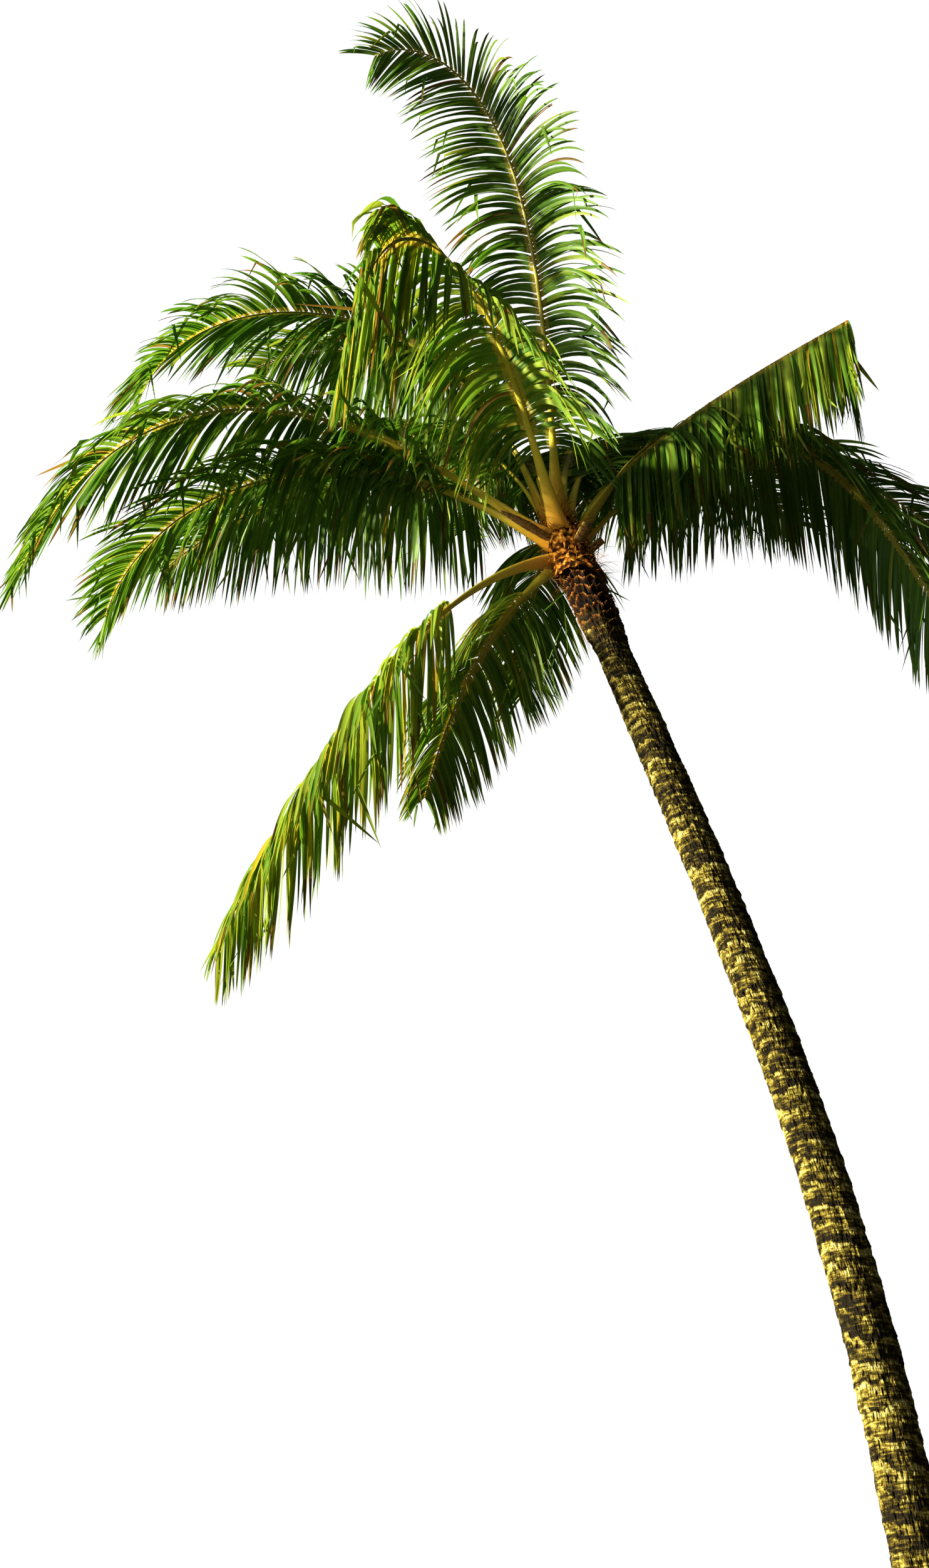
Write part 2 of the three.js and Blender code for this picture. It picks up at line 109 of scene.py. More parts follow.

# Fronds, from the top of the crown downwards. Angles are in degrees: heading is counted from +X towards
# +Y, rise is the slope at the base and droop is how far the slope has turned by the tip. late puts the
# bend nearer the tip, snap makes it more sudden, sweep turns the heading and roll tips the blade sideways
# on the way. lift raises the leaflets above the rib, slant is their angle to it, limp lets them hang, and
# leaf scales their length. bare is the share without leaflets, seat is the height of the base on the crown
# heart, split says that the solid blade is in two, and broken is the length that hangs from the break.
# ripe is how far the leaf has turned from deep green to yellow, and fade adds to it towards the tip, partly
# as real yellowing and partly as painted sunlight.
FRONDS = [
    dict(name="crest", seat=0.3, heading=263, rise=76.5, droop=98, late=5.2, snap=1.13, sweep=-98,
         roll=60, length=4.8, lift=10, limp=0.85, leaf=0.85, bare=0.13, split=True, ripe=0.14),
    dict(name="front_arch", seat=0.1, heading=243, rise=51, droop=132, late=1.05, snap=2.7, sweep=-20,
         roll=-150, length=4.75, lift=0, limp=1.3, leaf=1.15, bare=0.17, split=True, ripe=0.46),
    dict(name="upper_left", seat=0.2, heading=189, rise=77, droop=161, late=1.73, snap=1.3, sweep=-7,
         roll=-35, length=5.4, lift=24, limp=0.6, leaf=1, split=True, ripe=0.12),
    dict(name="middle_left", seat=0.1, heading=190, rise=37, droop=110, late=1.57, snap=1.7, sweep=-22,
         roll=-35, length=5.3, lift=12, limp=0.8, leaf=1.05, split=True, ripe=0.1),
    dict(name="lower_left", seat=0.02, heading=178, rise=46, droop=129, late=2.17, snap=1.02, sweep=-29,
         roll=-25, length=4.65, lift=22, limp=0.7, leaf=1, split=True, ripe=0.08),
    dict(name="hanging_left", seat=-0.08, heading=176, rise=6, droop=76, late=0.15, snap=1, sweep=0,
         roll=0, length=4.3, lift=-15, limp=0.9, leaf=1, ripe=0.62),
    dict(name="hanging_inner", seat=-0.05, heading=118, rise=26, droop=85, late=0.9, snap=1, sweep=0,
         roll=0, length=2.8, lift=-15, limp=0.9, leaf=0.85, ripe=0.4),
    dict(name="hanging_back", seat=-0.02, heading=96, rise=62, droop=120, late=1.8, snap=1, sweep=0,
         roll=0, length=3.4, lift=-10, limp=0.9, leaf=0.9, ripe=0.15),
    # The broken frond's leaflets turn yellower towards the break: partly real yellowing, partly painted
    # sunlight.
    dict(name="broken_right", seat=0.08, heading=349, rise=82, droop=53, late=0.186, snap=1, sweep=0,
         roll=0, length=3.23, lift=-80, limp=2.2, leaf=1.1, slant=138, broken=0.95, ripe=0.15, yellowing_and_sunlight=0.4),
    dict(name="long_right", seat=0.12, heading=6, rise=66, droop=138, late=0.7, snap=2.3, sweep=4,
         roll=0, length=5.4, lift=-8, limp=0.95, leaf=1.05, split=True, ripe=0.05),
    dict(name="young_left", seat=0.42, heading=160, rise=80, droop=90, late=2, snap=1, sweep=0,
         roll=0, length=4.4, lift=5, limp=0.8, leaf=1, ripe=0.2),
    dict(name="back_right_high", seat=0.26, heading=58, rise=78, droop=80, late=1.6, snap=1, sweep=0,
         roll=0, length=4, lift=5, limp=0.5, leaf=0.9, ripe=0.12),
    dict(name="back_left_high", seat=0.2, heading=140, rise=76, droop=100, late=1.6, snap=1, sweep=0,
         roll=0, length=4.8, lift=5, limp=0.8, leaf=1, ripe=0.1),
    dict(name="back_left_top", seat=0.34, heading=104, rise=76, droop=80, late=1.6, snap=1, sweep=0,
         roll=0, length=4.2, lift=5, limp=0.5, leaf=0.9, ripe=0.12),
    dict(name="back_top", seat=0.3, heading=74, rise=80, droop=82, late=1.6, snap=1, sweep=0,
         roll=0, length=4, lift=5, limp=0.5, leaf=0.9, ripe=0.12),
    dict(name="back_right", seat=0.14, heading=42, rise=72, droop=88, late=1.6, snap=1, sweep=0,
         roll=0, length=4.4, lift=5, limp=0.6, leaf=0.95, ripe=0.1),
    dict(name="back_left", seat=0.06, heading=154, rise=57, droop=92, late=1.6, snap=1, sweep=0,
         roll=0, length=4.6, lift=0, limp=0.7, leaf=1, ripe=0.1),
    dict(name="back_low_right", seat=0.04, heading=22, rise=64, droop=98, late=1.6, snap=1, sweep=0,
         roll=0, length=4.5, lift=0, limp=0.7, leaf=1, ripe=0.08),
]


class PalmSizes(bpy.types.PropertyGroup):
    """Sizes of the palm's fine surface."""

    leaflet_length: bpy.props.FloatProperty(
        name="Leaflet length", description="Leaflet length before it narrows to the ends",
        default=1.518, unit="LENGTH")
    leaflet_width: bpy.props.FloatProperty(
        name="Leaflet width", description="Widest leaflet", default=0.036, unit="LENGTH")
    leaflet_count: bpy.props.IntProperty(
        name="Leaflets a side", description="Leaflets on each side of a frond", default=150)
    ring_pitch: bpy.props.FloatProperty(
        name="Ring pitch", description="Height between ring scars near the ground",
        default=0.175, unit="LENGTH")
    ring_depth: bpy.props.FloatProperty(
        name="Ring depth", description="Depth of a ring scar", default=0.012, unit="LENGTH")


class PalmColours(bpy.types.PropertyGroup):
    """Colours of the palm's materials, as sRGB hex values."""

    deep_leaf: bpy.props.StringProperty(
        name="Deep leaf", description="Shaded green leaflets", default="5c882c")
    leaf: bpy.props.StringProperty(
        name="Leaf", description="Green leaflets", default="78a03a")
    fresh_leaf: bpy.props.StringProperty(
        name="Fresh leaf", description="Yellow-green leaflets", default="9cb242")
    ripe_leaf: bpy.props.StringProperty(
        name="Ripe leaf", description="Yellowing leaflets", default="a89d2c")
    dry_leaf: bpy.props.StringProperty(
        name="Dry leaf", description="Dry brown leaflets", default="7d6231")
    bark: bpy.props.StringProperty(
        name="Bark", description="Weathered bark", default="988a3a")
    # Also painted into the sunk scars, fissures and pits as shade.
    bark_crack_and_shade: bpy.props.StringProperty(
        name="Bark crack", description="Cracks and scars", default="1e160a")
    stalk: bpy.props.StringProperty(
        name="Stalk", description="Waxy leaf stalk", default="f2dc48")
    stalk_foot: bpy.props.StringProperty(
        name="Stalk foot", description="Flared stalk base", default="ec9c2a")
    fibre: bpy.props.StringProperty(
        name="Fibre", description="Sheath fibre", default="b8701e")


# ---- Numbers ----
def trunk_shift(z):
    def lean(height):
        return np.log(1 + np.exp((height - LEAN_START) / LEAN_BLEND))
    return -LEAN_SLOPE * LEAN_BLEND * (lean(z) - lean(0.0))


def trunk_radius(z):
    t = z / TRUNK_TOP
    return TRUNK_RADIUS - 0.010 * t - 0.025 * t**6 + ROOT_FLARE * np.exp(-z / FLARE_HEIGHT)


CROWN_BASE = np.array([trunk_shift(TRUNK_TOP) - CROWN_SHIFT, 0.0, TRUNK_TOP + CROWN_RISE])
CROWN_AXIS = np.array([-math.sin(HEART_TILT), 0.0, math.cos(HEART_TILT)])


def unit(v):
    return v / np.linalg.norm(v, axis=-1, keepdims=True)


def share(u, frond):
    a = u ** frond["snap"]
    b = (frond["late"] * (1 - u)) ** frond["snap"]
    return a / (a + b)


def frame_at(u, frond):
    turned = share(u, frond)
    slope = math.radians(frond["rise"] - frond["droop"] * turned)
    heading = math.radians(frond["heading"] + frond["sweep"] * turned)
    along = np.array([
        math.cos(heading) * math.cos(slope), math.sin(heading) * math.cos(slope), math.sin(slope)])
    level = np.array([-math.sin(heading), math.cos(heading), 0.0])
    roll = math.radians(frond["roll"] * turned)
    right = level * math.cos(roll) + np.cross(along, level) * math.sin(roll)
    return along, right, np.cross(along, right)


def frond_path(frond):
    """The rib's points and its along, right and up directions, at PATH_STEPS + 1 even steps."""
    heading = math.radians(frond["heading"])
    outward = np.array([math.cos(heading), math.sin(heading), 0.0])
    at = CROWN_BASE + CROWN_AXIS * frond["seat"] + PETIOLE_OFFSET * outward
    points = [at]
    for i in range(PATH_STEPS):
        at = at + frame_at((i + 0.5) / PATH_STEPS, frond)[0] * frond["length"] / PATH_STEPS
        points.append(at)
    frames = [frame_at(i / PATH_STEPS, frond) for i in range(PATH_STEPS + 1)]
    return (np.array(points), *(np.array(column) for column in zip(*frames)))


def along_path(path, u):
    """Point, along, right and up at shares u of the path."""
    steps = np.linspace(0, 1, len(path[0]))
    found = [np.stack([np.interp(u, steps, row[:, k]) for k in range(3)], axis=-1) for row in path]
    return found[0], unit(found[1]), unit(found[2]), unit(found[3])


def bare_share(frond):
    """The share of a frond's length that is bare stalk."""
    return frond.get("bare", PETIOLE_SHARE)


def rib_half_width(u, frond):
    """Half the stalk's width at a share u of its length: flared at the foot, thin at the tip."""
    bare = bare_share(frond)
    inner = np.clip(u / bare, 0, 1)
    outer = np.clip((u - bare) / (1 - bare), 0, 1)
    stalk = PETIOLE_WIDTH - (PETIOLE_WIDTH - RACHIS_WIDTH) * inner
    flare = FOOT_FLARE * np.exp(-u * frond["length"] / FOOT_FLARE_LENGTH)
    return stalk * (1 - 0.85 * outer**0.7) / 2 + flare


# ---- Blender helpers ----
def deselect():
    if bpy.context.object and bpy.context.object.mode != "OBJECT":
        bpy.ops.object.mode_set(mode="OBJECT")
    bpy.ops.object.select_all(action="DESELECT")


def drum(name, sides, cuts):
    """A unit cylinder standing on the origin, its wall cut into rings by repeated subdivision.

    The first drum of a session is still in vertex select mode when it is first cut, so that cut also divides
    it round. The trunk is that drum: it has 31 times the columns that its sides ask for.
    """
    deselect()
    bpy.ops.mesh.primitive_cylinder_add(
        vertices=sides, radius=1, depth=1, end_fill_type="TRIFAN", location=(0, 0, 0.5))
    piece = bpy.context.object
    piece.name = name
    bpy.ops.object.transform_apply(location=True, rotation=True, scale=True)
    for cut in cuts:
        mesh = piece.data
        for edge in mesh.edges:
            a, b = (mesh.vertices[i].co for i in edge.vertices)
            edge.select = abs(a.z - b.z) > 1e-6
        for item in (*mesh.vertices, *mesh.polygons):
            item.select = False
        bpy.ops.object.mode_set(mode="EDIT")
        bpy.ops.mesh.select_mode(type="EDGE")
        bpy.ops.mesh.subdivide(number_cuts=cut)
        bpy.ops.object.mode_set(mode="OBJECT")
    return piece


def coordinates(piece):
    found = np.empty(len(piece.data.vertices) * 3)
    piece.data.vertices.foreach_get("co", found)
    return found.reshape(-1, 3)


def reshape(piece, points):
    piece.data.vertices.foreach_set("co", points.astype(np.float32).ravel())
    piece.data.update()


def keep_value(piece, name, values):
    """Stores one number a point, for a material to read."""
    layer = piece.data.attributes.new(name, "FLOAT", "POINT")
    layer.data.foreach_set("value", np.asarray(values, dtype=np.float32))


def mesh_piece(name, points, faces):
    mesh = bpy.data.meshes.new(name)
    mesh.from_pydata(points.tolist(), [], faces)
    mesh.update()
    piece = bpy.data.objects.new(name, mesh)
    bpy.context.collection.objects.link(piece)
    return piece


def finish_piece(piece, materials, nodes=(), smooth=True):
    """Gives a piece its materials, its body and the nodes that it stands for."""
    for material in materials:
        piece.data.materials.append(material)
    if smooth:
        piece.data.polygons.foreach_set("use_smooth", [True] * len(piece.data.polygons))
    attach(piece, "root")
    if nodes:
        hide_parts(*nodes)


# ---- Materials ----
def linear(hex_text):
    """An sRGB hex value as linear red, green, blue and alpha."""
    channels = [int(hex_text[i:i + 2], 16) / 255 for i in (0, 2, 4)]
    return (*(c / 12.92 if c <= 0.04045 else ((c + 0.055) / 1.055) ** 2.4 for c in channels), 1.0)


def add_node(tree, kind, settings=None, values=None, links=None):
    """Adds a node with its settings, its input values and its links from other nodes' outputs."""
    made = tree.nodes.new(kind)
    for key, value in (settings or {}).items():
        setattr(made, key, value)
    for key, value in (values or {}).items():
        made.inputs[key].default_value = value
    for key, source in (links or {}).items():
        tree.links.new(source, made.inputs[key])
    return made


def new_material(name, roughness, colour=None, specular=0.5):
    """A Principled material with its shader node, ready for a pattern."""
    material = bpy.data.materials.get(name)
    if material:
        return material, None, None
    material = bpy.data.materials.new(name)
    material.use_nodes = True
    tree = material.node_tree
    shader = tree.nodes["Principled BSDF"]
    shader.inputs["Roughness"].default_value = roughness
    shader.inputs["Specular IOR Level"].default_value = specular
    if colour:
        shader.inputs["Base Color"].default_value = linear(colour)
    return material, tree, shader


def ramp(tree, source, stops):
    """A colour ramp from (position, hex) stops."""
    made = add_node(tree, "ShaderNodeValToRGB", links={"Fac": source})
    elements = made.color_ramp.elements
    while len(elements) < len(stops):
        elements.new(0.5)
    for element, (position, colour) in zip(elements, stops):
        element.position = position
        element.color = linear(colour)
    return made.outputs["Color"]


def leaf_material(name, colour, glow):
    """Living leaflet, waxed and thin enough to let the sun through: a plain colour and a warmer glow."""
    material, tree, shader = new_material(name, 0.48, colour, 0.4)
    if tree:
        through = add_node(tree, "ShaderNodeBsdfTranslucent", values={"Color": linear(glow)})
        mix = add_node(tree, "ShaderNodeMixShader", values={0: 0.46},
                       links={1: shader.outputs[0], 2: through.outputs[0]})
        tree.links.new(mix.outputs[0], tree.nodes["Material Output"].inputs["Surface"])
    return material


def bark_material(colours):
    """Weathered palm bark: tan crust in broken level bands, dark ticks, scars darkened partly as painted
    shade, and a brown collar with painted shade and highlights.
    """
    material, tree, shader = new_material("weathered_palm_bark", 0.92, None, 0.2)
    if tree:
        spot = add_node(tree, "ShaderNodeTexCoord").outputs["Object"]
        # Darker in the sunk scars, fissures and pits: their crack colour and painted shade.
        crack_and_shade = add_node(tree, "ShaderNodeAttribute", {"attribute_name": "crack_and_shade"}).outputs["Fac"]
        collar = add_node(tree, "ShaderNodeAttribute", {"attribute_name": "collar"}).outputs["Fac"]
        # Level bands about 120 mm wide and 20 mm tall.
        level = add_node(tree, "ShaderNodeMapping", values={"Scale": (1 / 0.12, 1 / 0.12, 1 / 0.02)},
                         links={"Vector": spot})
        band = add_node(tree, "ShaderNodeTexNoise", values={"Scale": 1.0, "Detail": 5.0, "Roughness": 0.7},
                        links={"Vector": level.outputs[0]})
        ring = add_node(tree, "ShaderNodeAttribute", {"attribute_name": "ring_tone"}).outputs["Fac"]
        toned = add_node(tree, "ShaderNodeMath", {"operation": "MULTIPLY_ADD"}, {1: 0.2, 2: -0.09},
                         {0: ring})
        mixed = add_node(tree, "ShaderNodeMath", {"operation": "ADD"},
                         links={0: toned.outputs[0], 1: band.outputs["Fac"]})
        base = ramp(tree, mixed.outputs[0], [
            (0.40, "161208"), (0.495, "544818"), (0.585, colours.bark), (0.70, "cdc484")])
        # Upright ticks about 8 mm wide and 35 mm tall.
        upright = add_node(tree, "ShaderNodeMapping", values={"Scale": (1 / 0.008, 1 / 0.008, 1 / 0.035)},
                           links={"Vector": spot})
        tick = add_node(tree, "ShaderNodeTexNoise", values={"Scale": 1.0, "Detail": 2.0},
                        links={"Vector": upright.outputs[0]})
        ticked = add_node(tree, "ShaderNodeMapRange", values={1: 0.56, 2: 0.66, 4: 0.8},
                          links={0: tick.outputs["Fac"]})
        crusted = add_node(tree, "ShaderNodeMix", {"data_type": "RGBA"},
                           {7: linear(colours.bark_crack_and_shade)}, {0: ticked.outputs[0], 6: base})
        dark = add_node(tree, "ShaderNodeMix", {"data_type": "RGBA"},
                        {7: linear(colours.bark_crack_and_shade)}, {0: crack_and_shade, 6: crusted.outputs[2]})
        # The collar is old leaf-base fibre in dark brown, painted black in its sunk gaps as shade and burnt
        # orange on its ledge edges as highlights.
        ledge = add_node(tree, "ShaderNodeAttribute", {"attribute_name": "ledge"}).outputs["Fac"]
        edge = ramp(tree, ledge, [(0.45, "0a0502"), (0.80, "3a1e0a"), (1.0, "a06a2c")])
        whole = add_node(tree, "ShaderNodeMix", {"data_type": "RGBA"},
                         links={0: collar, 6: dark.outputs[2], 7: edge})
        tree.links.new(whole.outputs[2], shader.inputs["Base Color"])
        bump = add_node(tree, "ShaderNodeBump", values={"Strength": 0.7, "Distance": 0.004},
                        links={"Height": tick.outputs["Fac"]})
        tree.links.new(bump.outputs["Normal"], shader.inputs["Normal"])
    return material


def stalk_material(colours):
    """Waxy leaf stalk: orange at its flared foot, yellow along the stalk and greener towards the tip."""
    material, tree, shader = new_material("waxy_leaf_stalk", 0.38, None, 0.5)
    if tree:
        along = add_node(tree, "ShaderNodeAttribute", {"attribute_name": "along"}).outputs["Fac"]
        body = ramp(tree, along, [
            (0.0, colours.stalk_foot), (0.035, "f8bc3c"), (0.12, colours.stalk), (0.26, "c0b03a"),
            (1.0, "76862c")])
        spot = add_node(tree, "ShaderNodeTexCoord").outputs["Object"]
        # Freckles and scuffs about 15 mm across.
        scuff = add_node(tree, "ShaderNodeTexNoise", values={"Scale": 1 / 0.015, "Detail": 4.0},
                         links={"Vector": spot})
        scuffed = add_node(tree, "ShaderNodeMapRange", values={1: 0.6, 2: 0.78, 4: 0.5},
                           links={0: scuff.outputs["Fac"]})
        dark = add_node(tree, "ShaderNodeMix", {"data_type": "RGBA"}, {7: linear("6b4a16")},
                        {0: scuffed.outputs[0], 6: body})
        tree.links.new(dark.outputs[2], shader.inputs["Base Color"])
    return material


def fibre_material(colours):
    """Leaf-sheath fibre: coarse brown threads that cross like burlap, about 4 mm apart."""
    material, tree, shader = new_material("leaf_sheath_fibre", 0.95, None, 0.15)
    if tree:
        spot = add_node(tree, "ShaderNodeTexCoord").outputs["Object"]
        patch = add_node(tree, "ShaderNodeTexNoise", values={"Scale": 1 / 0.05, "Detail": 5.0},
                         links={"Vector": spot})
        body = ramp(tree, patch.outputs["Fac"], [
            (0.38, "120803"), (0.47, "5a300c"), (0.55, colours.fibre), (0.68, "f8c85c")])
        thread = add_node(tree, "ShaderNodeTexWave", {"bands_direction": "DIAGONAL"},
                          {"Scale": 1 / 0.08, "Distortion": 6.0, "Detail": 3.0}, {"Vector": spot})
        bump = add_node(tree, "ShaderNodeBump", values={"Strength": 0.8, "Distance": 0.004},
                        links={"Height": thread.outputs["Fac"]})
        tree.links.new(body, shader.inputs["Base Color"])
        tree.links.new(bump.outputs["Normal"], shader.inputs["Normal"])
    return material


def woody_material():
    """Dry woody spathe and cut leaf feet: grey-tan, streaked and dull."""
    material, tree, shader = new_material("dry_spathe_wood", 0.85, None, 0.25)
    if tree:
        spot = add_node(tree, "ShaderNodeTexCoord").outputs["Object"]
        # Streaks about 20 mm apart.
        streak = add_node(tree, "ShaderNodeTexNoise",
                          values={"Scale": 1 / 0.02, "Detail": 6.0, "Roughness": 0.7},
                          links={"Vector": spot})
        body = ramp(tree, streak.outputs["Fac"], [(0.3, "4a2f14"), (0.5, "94703c"), (0.7, "bfa468")])
        tree.links.new(body, shader.inputs["Base Color"])
        bump = add_node(tree, "ShaderNodeBump", values={"Strength": 0.5, "Distance": 0.003},
                        links={"Height": streak.outputs["Fac"]})
        tree.links.new(bump.outputs["Normal"], shader.inputs["Normal"])
    return material


def leaf_set(colours):
    """The leaflet materials, from deep green to dry, and the yellow of the leaflet feet."""
    return [
        leaf_material("deep_green_leaflet", colours.deep_leaf, "5a8a24"),
        leaf_material("green_leaflet", colours.leaf, "7aa02e"),
        leaf_material("fresh_leaflet", colours.fresh_leaf, "a8b83a"),
        leaf_material("ripe_leaflet", colours.ripe_leaf, "d2bb3c"),
        leaf_material("dry_leaflet", colours.dry_leaf, "a07a34"),
        leaf_material("leaflet_foot", "c2b548", "d8c850"),
    ]


# ---- Stage ----
class PALM_OT_camera(bpy.types.Operator):
    """Stand the camera near the foot of the palm, looking up at the crown"""

    bl_idname = "palm.camera"
    bl_label = "Camera"

    def execute(self, context):
        deselect()
        bpy.ops.object.camera_add(location=(-2.48, -9.2, 1.6), rotation=(math.radians(90 + 34), 0, 0))
        camera = context.object
        camera.name = "camera"
        camera.data.lens = 36
        camera.data.sensor_width = 36
        camera.data.clip_end = 200
        context.scene.camera = camera
        return {"FINISHED"}


class PALM_OT_stage(bpy.types.Operator):
    """Lay a pale floor and light the palm with a low warm key from the left and a weak fill"""

    bl_idname = "palm.stage"
    bl_label = "Stage"

    def execute(self, context):
        deselect()
        bpy.ops.mesh.primitive_plane_add(size=10, location=(0, 0, -0.002))
        floor = context.object
        floor.name = "floor"
        floor.data.materials.append(new_material("pale_floor", 0.9, "c2bfb6")[0])
        lamps = [
            ("key", (-0.96, -0.17, 0.12), 13.0, (1.0, 0.92, 0.64), 3),
            ("fill", (-0.8, -0.58, 0.1), 0.9, (1.0, 0.98, 0.90), 30),
        ]
        for name, towards, strength, colour, spread in lamps:
            bpy.ops.object.light_add(type="SUN", location=Vector(towards) * 30)
            lamp = context.object
            lamp.name = name
            lamp.rotation_euler = Vector(towards).to_track_quat("Z", "Y").to_euler()
            lamp.data.energy = strength
            lamp.data.color = colour
            lamp.data.angle = math.radians(spread)
        world = bpy.data.worlds.new("studio")
        context.scene.world = world
        world.use_nodes = True
        tree = world.node_tree
        soft = tree.nodes["Background"]
        soft.inputs["Color"].default_value = (0.97, 1.0, 0.93, 1.0)
        soft.inputs["Strength"].default_value = 0.055
        white = add_node(tree, "ShaderNodeBackground", values={"Color": (1, 1, 1, 1), "Strength": 1.0})
        seen = add_node(tree, "ShaderNodeLightPath").outputs["Is Camera Ray"]
        mix = add_node(tree, "ShaderNodeMixShader",
                       links={0: seen, 1: soft.outputs[0], 2: white.outputs[0]})
        tree.links.new(mix.outputs[0], tree.nodes["World Output"].inputs["Surface"])
        context.scene.view_settings.view_transform = "Standard"
        context.scene.view_settings.gamma = 0.92
        return {"FINISHED"}


# ---- Trunk ----
def bark_relief(angle, z, sizes):
    """How far the bark stands out at each point, how dark its grooves are with their painted shade, and the
    tone of its rings with the crown's painted shadow.
    """
    out, dark, tone = np.empty((3, len(z)))
    for i, (a, height) in enumerate(zip(angle, z)):
        x, y = math.cos(a), math.sin(a)
        wobble = noise.fractal(Vector((x * 1.4, y * 1.4, height * 2.5)), 1.0, 2.0, 3)
        # Rings stand closer together towards the crown.
        turn = math.log(1 / (1 - 0.6 * min(height / TRUNK_TOP, 0.999))) / 0.6 * TRUNK_TOP / sizes.ring_pitch
        turn += 0.55 * wobble
        part = turn % 1.0
        strength = 0.45 + 0.55 * noise.cell(Vector((math.floor(turn), 3.3, 0.0)))
        broken = 0.6 + 0.8 * noise.noise(Vector((x * 4, y * 4, turn * 0.9)))
        scar = math.exp(-(min(part, 1 - part) / 0.07) ** 2) * strength * max(broken, 0)
        lump = noise.fractal(Vector((x * 2.2, y * 2.2, height * 4)), 1.0, 2.0, 4)
        crust = noise.fractal(Vector((x * 7, y * 7, height * 26)), 0.8, 2.1, 3)
        tick = noise.noise(Vector((x * 17 + 4, y * 17, height * 19)))
        patch = noise.noise(Vector((x * 5, y * 5, height * 9)))
        fissure = max(0.0, 1.0 - abs(tick) * 9) * max(0.0, patch + 0.35)
        pit = max(0.0, noise.noise(Vector((x * 13, y * 13 + 7, height * 24))) - 0.30) * 2.6
        age = 1 - 0.6 * height / TRUNK_TOP
        out[i] = (0.009 * age * (1 - part) ** 2 - sizes.ring_depth * age * scar
                  + 0.008 * lump + 0.006 * crust - 0.007 * fissure - 0.012 * pit)
        # Painted shade: the sunk scars, fissures and pits are darker, and the raised crust is lighter.
        dark[i] = 1.2 * scar + 1.3 * fissure + 1.2 * pit - 0.35 * crust
        # Painted crown shadow: the bark is toned darker towards the collar.
        crown_shadow = np.clip((height - CROWN_SHADOW_FOOT) / CROWN_SHADOW_FADE, 0, 1)
        shade = 0.25 * noise.cell(Vector((math.floor(turn), 9.1, 2.0)))
        tone[i] = shade + part**1.4 + 0.4 * lump - 0.4 * crown_shadow
    return out, np.clip(dark, 0, 1), tone


def collar_relief(angle, z, near_top):
    """Ragged leaf-base scars on the newest part of the trunk: how far out, and how near a ledge's edge,
    which the bark paints from painted shade in the gaps to a painted highlight at the edge.
    """
    out = np.zeros(len(z))
    ledge = np.zeros(len(z))
    for i in np.nonzero(near_top > 0)[0]:
        x, y = math.cos(angle[i]), math.sin(angle[i])
        jag = noise.fractal(Vector((x * 1.5, y * 1.5, z[i] * 3)), 0.9, 2.1, 3)
        part = (z[i] / LEDGE_PITCH + 0.75 * jag) % 1.0
        rough = noise.noise(Vector((x * 6, y * 6, z[i] * 22)))
        out[i] = LEDGE_DEPTH * (part ** 1.4) + 0.010 * rough
        # Low values are the sunk gap, painted as shade; high values are the outer edge, painted as a
        # highlight.
        ledge[i] = part + 0.16 * rough
    return out * near_top, ledge


class PALM_OT_trunk(bpy.types.Operator):
    """Raise the leaning trunk with its root swell, ring scars, fissures and dark ragged collar, with painted
    shade in the hollows and painted highlights on the ledges
    """

    bl_idname = "palm.trunk"
    bl_label = "Trunk"

    def execute(self, context):
        sizes = context.scene.palm_sizes
        piece = drum("trunk_bark", TRUNK_SIDES, TRUNK_CUTS)
        raw = coordinates(piece)
        angle = np.arctan2(raw[:, 1], raw[:, 0])
        out_share = np.hypot(raw[:, 0], raw[:, 1])
        z = raw[:, 2] * TRUNK_TOP
        relief, dark, tone = bark_relief(angle, z, sizes)
        near_top = np.clip((z - COLLAR_FOOT) / COLLAR_FADE, 0, 1)
        collar, ledge = collar_relief(angle, z, near_top)
        radius = (trunk_radius(z) + COLLAR_SWELL * near_top + collar + relief) * out_share
        points = np.stack([trunk_shift(z) + radius * np.cos(angle), radius * np.sin(angle), z], axis=1)
        reshape(piece, points)
        # The stored darkness is partly painted shade in the sunk bark.
        keep_value(piece, "crack_and_shade", dark)
        keep_value(piece, "ring_tone", tone)
        keep_value(piece, "collar", near_top)
        # The ledge values set the collar's painted shade and painted highlights.
        keep_value(piece, "ledge", ledge)
        finish_piece(piece, [bark_material(context.scene.palm_colours)], ["trunk"])
        return {"FINISHED"}


# ---- Crown heart ----
def wrap_sheet(heading, low, high, spread, stand, rng):
    """A ragged sheet of sheath fibre wrapped round part of the crown heart."""
    points = []
    for i in range(SHEET_ROWS):
        t = i / (SHEET_ROWS - 1)
        for j in range(SHEET_COLUMNS):
            s = j / (SHEET_COLUMNS - 1)
            angle = math.radians(heading + spread * (s - 0.5) * (1 - 0.35 * t))
            rag = 0.05 * noise.noise(Vector((angle * 4, t * 3, stand * 50)))
            rag += 0.03 * rng.random() * (t > 0.85)
            height = low + (high - low) * (t + rag * 2)
            crumple = 0.02 * noise.noise(Vector((s * 5, t * 5, heading)))
            radius = HEART_RADIUS * (1.02 - 0.45 * t) + stand + crumple
            centre = CROWN_BASE + CROWN_AXIS * height
            points.append(centre + radius * np.array([math.cos(angle), math.sin(angle), 0.0]))
    faces = [
        (a, a + 1, a + SHEET_COLUMNS + 1, a + SHEET_COLUMNS)
        for i in range(SHEET_ROWS - 1) for a in range(i * SHEET_COLUMNS, (i + 1) * SHEET_COLUMNS - 1)
    ]
    return np.array(points), faces


